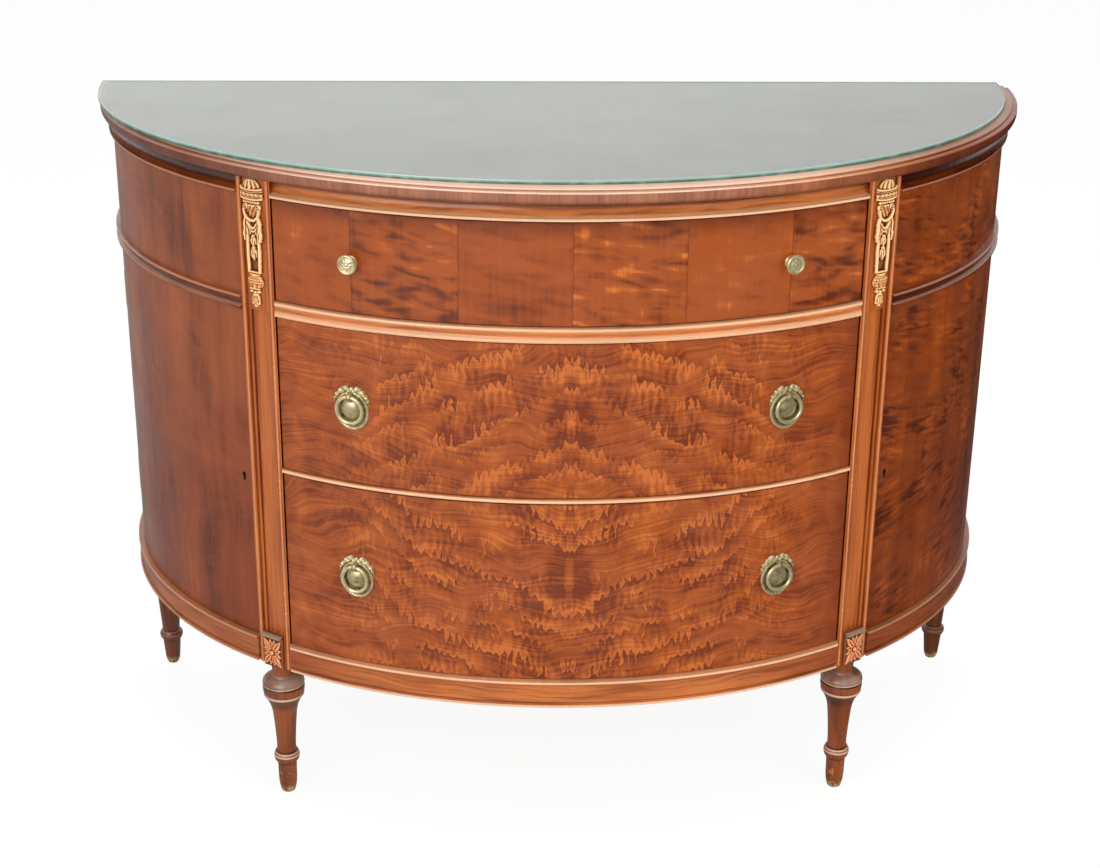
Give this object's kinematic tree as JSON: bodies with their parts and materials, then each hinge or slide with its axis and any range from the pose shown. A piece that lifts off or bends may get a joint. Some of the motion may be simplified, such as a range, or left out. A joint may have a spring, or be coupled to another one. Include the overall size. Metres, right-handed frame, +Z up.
{
  "type": "demilune console cabinet",
  "caption": "Half-moon console cabinet with a glass-covered top, bowed drawers between carved pilasters, curved cupboard doors at the sides and turned legs.",
  "frame": {"origin": "on the floor, under the middle of the box that holds the whole piece", "axes": "+X along the width to the right of someone facing the front, +Y towards the flat back, +Z up; the bowed front faces -Y"},
  "size_m": [1.2525, 0.5299, 0.8885],
  "materials": {
    "top_wood": "polished dark mahogany under the glass, orange-brown at its worn edge",
    "glass": "clear sheet glass with a teal-green edge",
    "mouldings": "polished mahogany with pale worn beads",
    "side_veneer": "polished red-brown crotch veneer",
    "pilaster_wood": "polished straight-grained mahogany",
    "carving": "pale gilt-toned carving, rubbed at its high places",
    "front_veneer": "bookmatched flame veneer with darker plumes, polished",
    "leg_wood": "polished dark mahogany, turned",
    "inner_wood": "plain unpolished secondary wood",
    "brass": "aged greenish-gold brass",
    "steel": "dull steel"
  },
  "bodies": {
    "case": {"top_board": "top_wood", "glass_top": "glass", "cornice_mouldings": "mouldings", "belt_mouldings": "mouldings", "mid_rail": "mouldings", "divider_rail": "mouldings", "base_front_rail": "mouldings", "base_side_rails": "mouldings", "frieze_left": "side_veneer", "frieze_right": "side_veneer", "pilaster_left": "pilaster_wood", "pilaster_right": "pilaster_wood", "carved_drops": "carving", "rosette_blocks": "carving", "leg_front_left": "leg_wood", "leg_front_right": "leg_wood", "leg_rear_left": "leg_wood", "leg_rear_right": "leg_wood", "bottom_board": "inner_wood", "partition_left": "inner_wood", "partition_right": "inner_wood", "rear_post_left": "inner_wood", "rear_post_right": "inner_wood", "back_panel": "inner_wood", "shelf_left": "inner_wood", "shelf_right": "inner_wood", "shelf_cleats": "inner_wood", "drawer_runners": "inner_wood", "drawer_stops": "inner_wood", "hinge_post_leaves": "brass"},
    "door_left_body": {"door_left": "side_veneer", "keyhole_liner_left": "brass", "hinge_door_leaves_left": "brass", "lock_left": "brass"},
    "door_right_body": {"door_right": "side_veneer", "keyhole_liner_right": "brass", "hinge_door_leaves_right": "brass", "lock_right": "brass"},
    "drawer_1_body": {"drawer_1_front": "front_veneer", "drawer_1_sides": "inner_wood", "drawer_1_back": "inner_wood", "drawer_1_bottom": "inner_wood", "drawer_1_knobs": "brass"},
    "drawer_2_body": {"drawer_2_front": "front_veneer", "drawer_2_sides": "inner_wood", "drawer_2_back": "inner_wood", "drawer_2_bottom": "inner_wood", "drawer_2_pull_plates": "brass"},
    "drawer_3_body": {"drawer_3_front": "front_veneer", "drawer_3_sides": "inner_wood", "drawer_3_back": "inner_wood", "drawer_3_bottom": "inner_wood", "drawer_3_pull_plates": "brass"},
    "ring_2_left_body": {"drawer_2_ring_left": "brass"},
    "ring_2_right_body": {"drawer_2_ring_right": "brass"},
    "ring_3_left_body": {"drawer_3_ring_left": "brass"},
    "ring_3_right_body": {"drawer_3_ring_right": "brass"},
    "bolt_left_body": {"lock_bolt_left": "steel"},
    "bolt_right_body": {"lock_bolt_right": "steel"}
  },
  "joints": [
    {"name": "drawer_1_slide", "type": "slide", "parent": "case", "child": "drawer_1_body", "axis": [0, -1, 0], "range_m": [0, 0.32]},
    {"name": "drawer_2_slide", "type": "slide", "parent": "case", "child": "drawer_2_body", "axis": [0, -1, 0], "range_m": [0, 0.32]},
    {"name": "drawer_3_slide", "type": "slide", "parent": "case", "child": "drawer_3_body", "axis": [0, -1, 0], "range_m": [0, 0.32]},
    {"name": "door_left_swing", "type": "hinge", "parent": "case", "child": "door_left_body", "pos_m": [-0.60672, 0.215, 0.46522], "axis": [0, 0, -1], "range_deg": [0, 100]},
    {"name": "door_right_swing", "type": "hinge", "parent": "case", "child": "door_right_body", "pos_m": [0.60672, 0.215, 0.46522], "axis": [0, 0, 1], "range_deg": [0, 100]},
    {"name": "bolt_left_slide", "type": "slide", "parent": "door_left_body", "child": "bolt_left_body", "axis": [0.8039, -0.5948, 0], "range_m": [0, 0.008]},
    {"name": "bolt_right_slide", "type": "slide", "parent": "door_right_body", "child": "bolt_right_body", "axis": [-0.8039, -0.5948, 0], "range_m": [0, 0.008]},
    {"name": "ring_2_left_swing", "type": "hinge", "parent": "drawer_2_body", "child": "ring_2_left_body", "pos_m": [-0.26947, -0.20676, 0.60646], "axis": [-0.9255, 0.3787, 0], "range_deg": [0, 85]},
    {"name": "ring_2_right_swing", "type": "hinge", "parent": "drawer_2_body", "child": "ring_2_right_body", "pos_m": [0.26947, -0.20676, 0.60646], "axis": [-0.9255, -0.3787, 0], "range_deg": [0, 85]},
    {"name": "ring_3_left_swing", "type": "hinge", "parent": "drawer_3_body", "child": "ring_3_left_body", "pos_m": [-0.26947, -0.20676, 0.37574], "axis": [-0.9255, 0.3787, 0], "range_deg": [0, 85]},
    {"name": "ring_3_right_swing", "type": "hinge", "parent": "drawer_3_body", "child": "ring_3_right_body", "pos_m": [0.26947, -0.20676, 0.37574], "axis": [-0.9255, -0.3787, 0], "range_deg": [0, 85]}
  ]
}
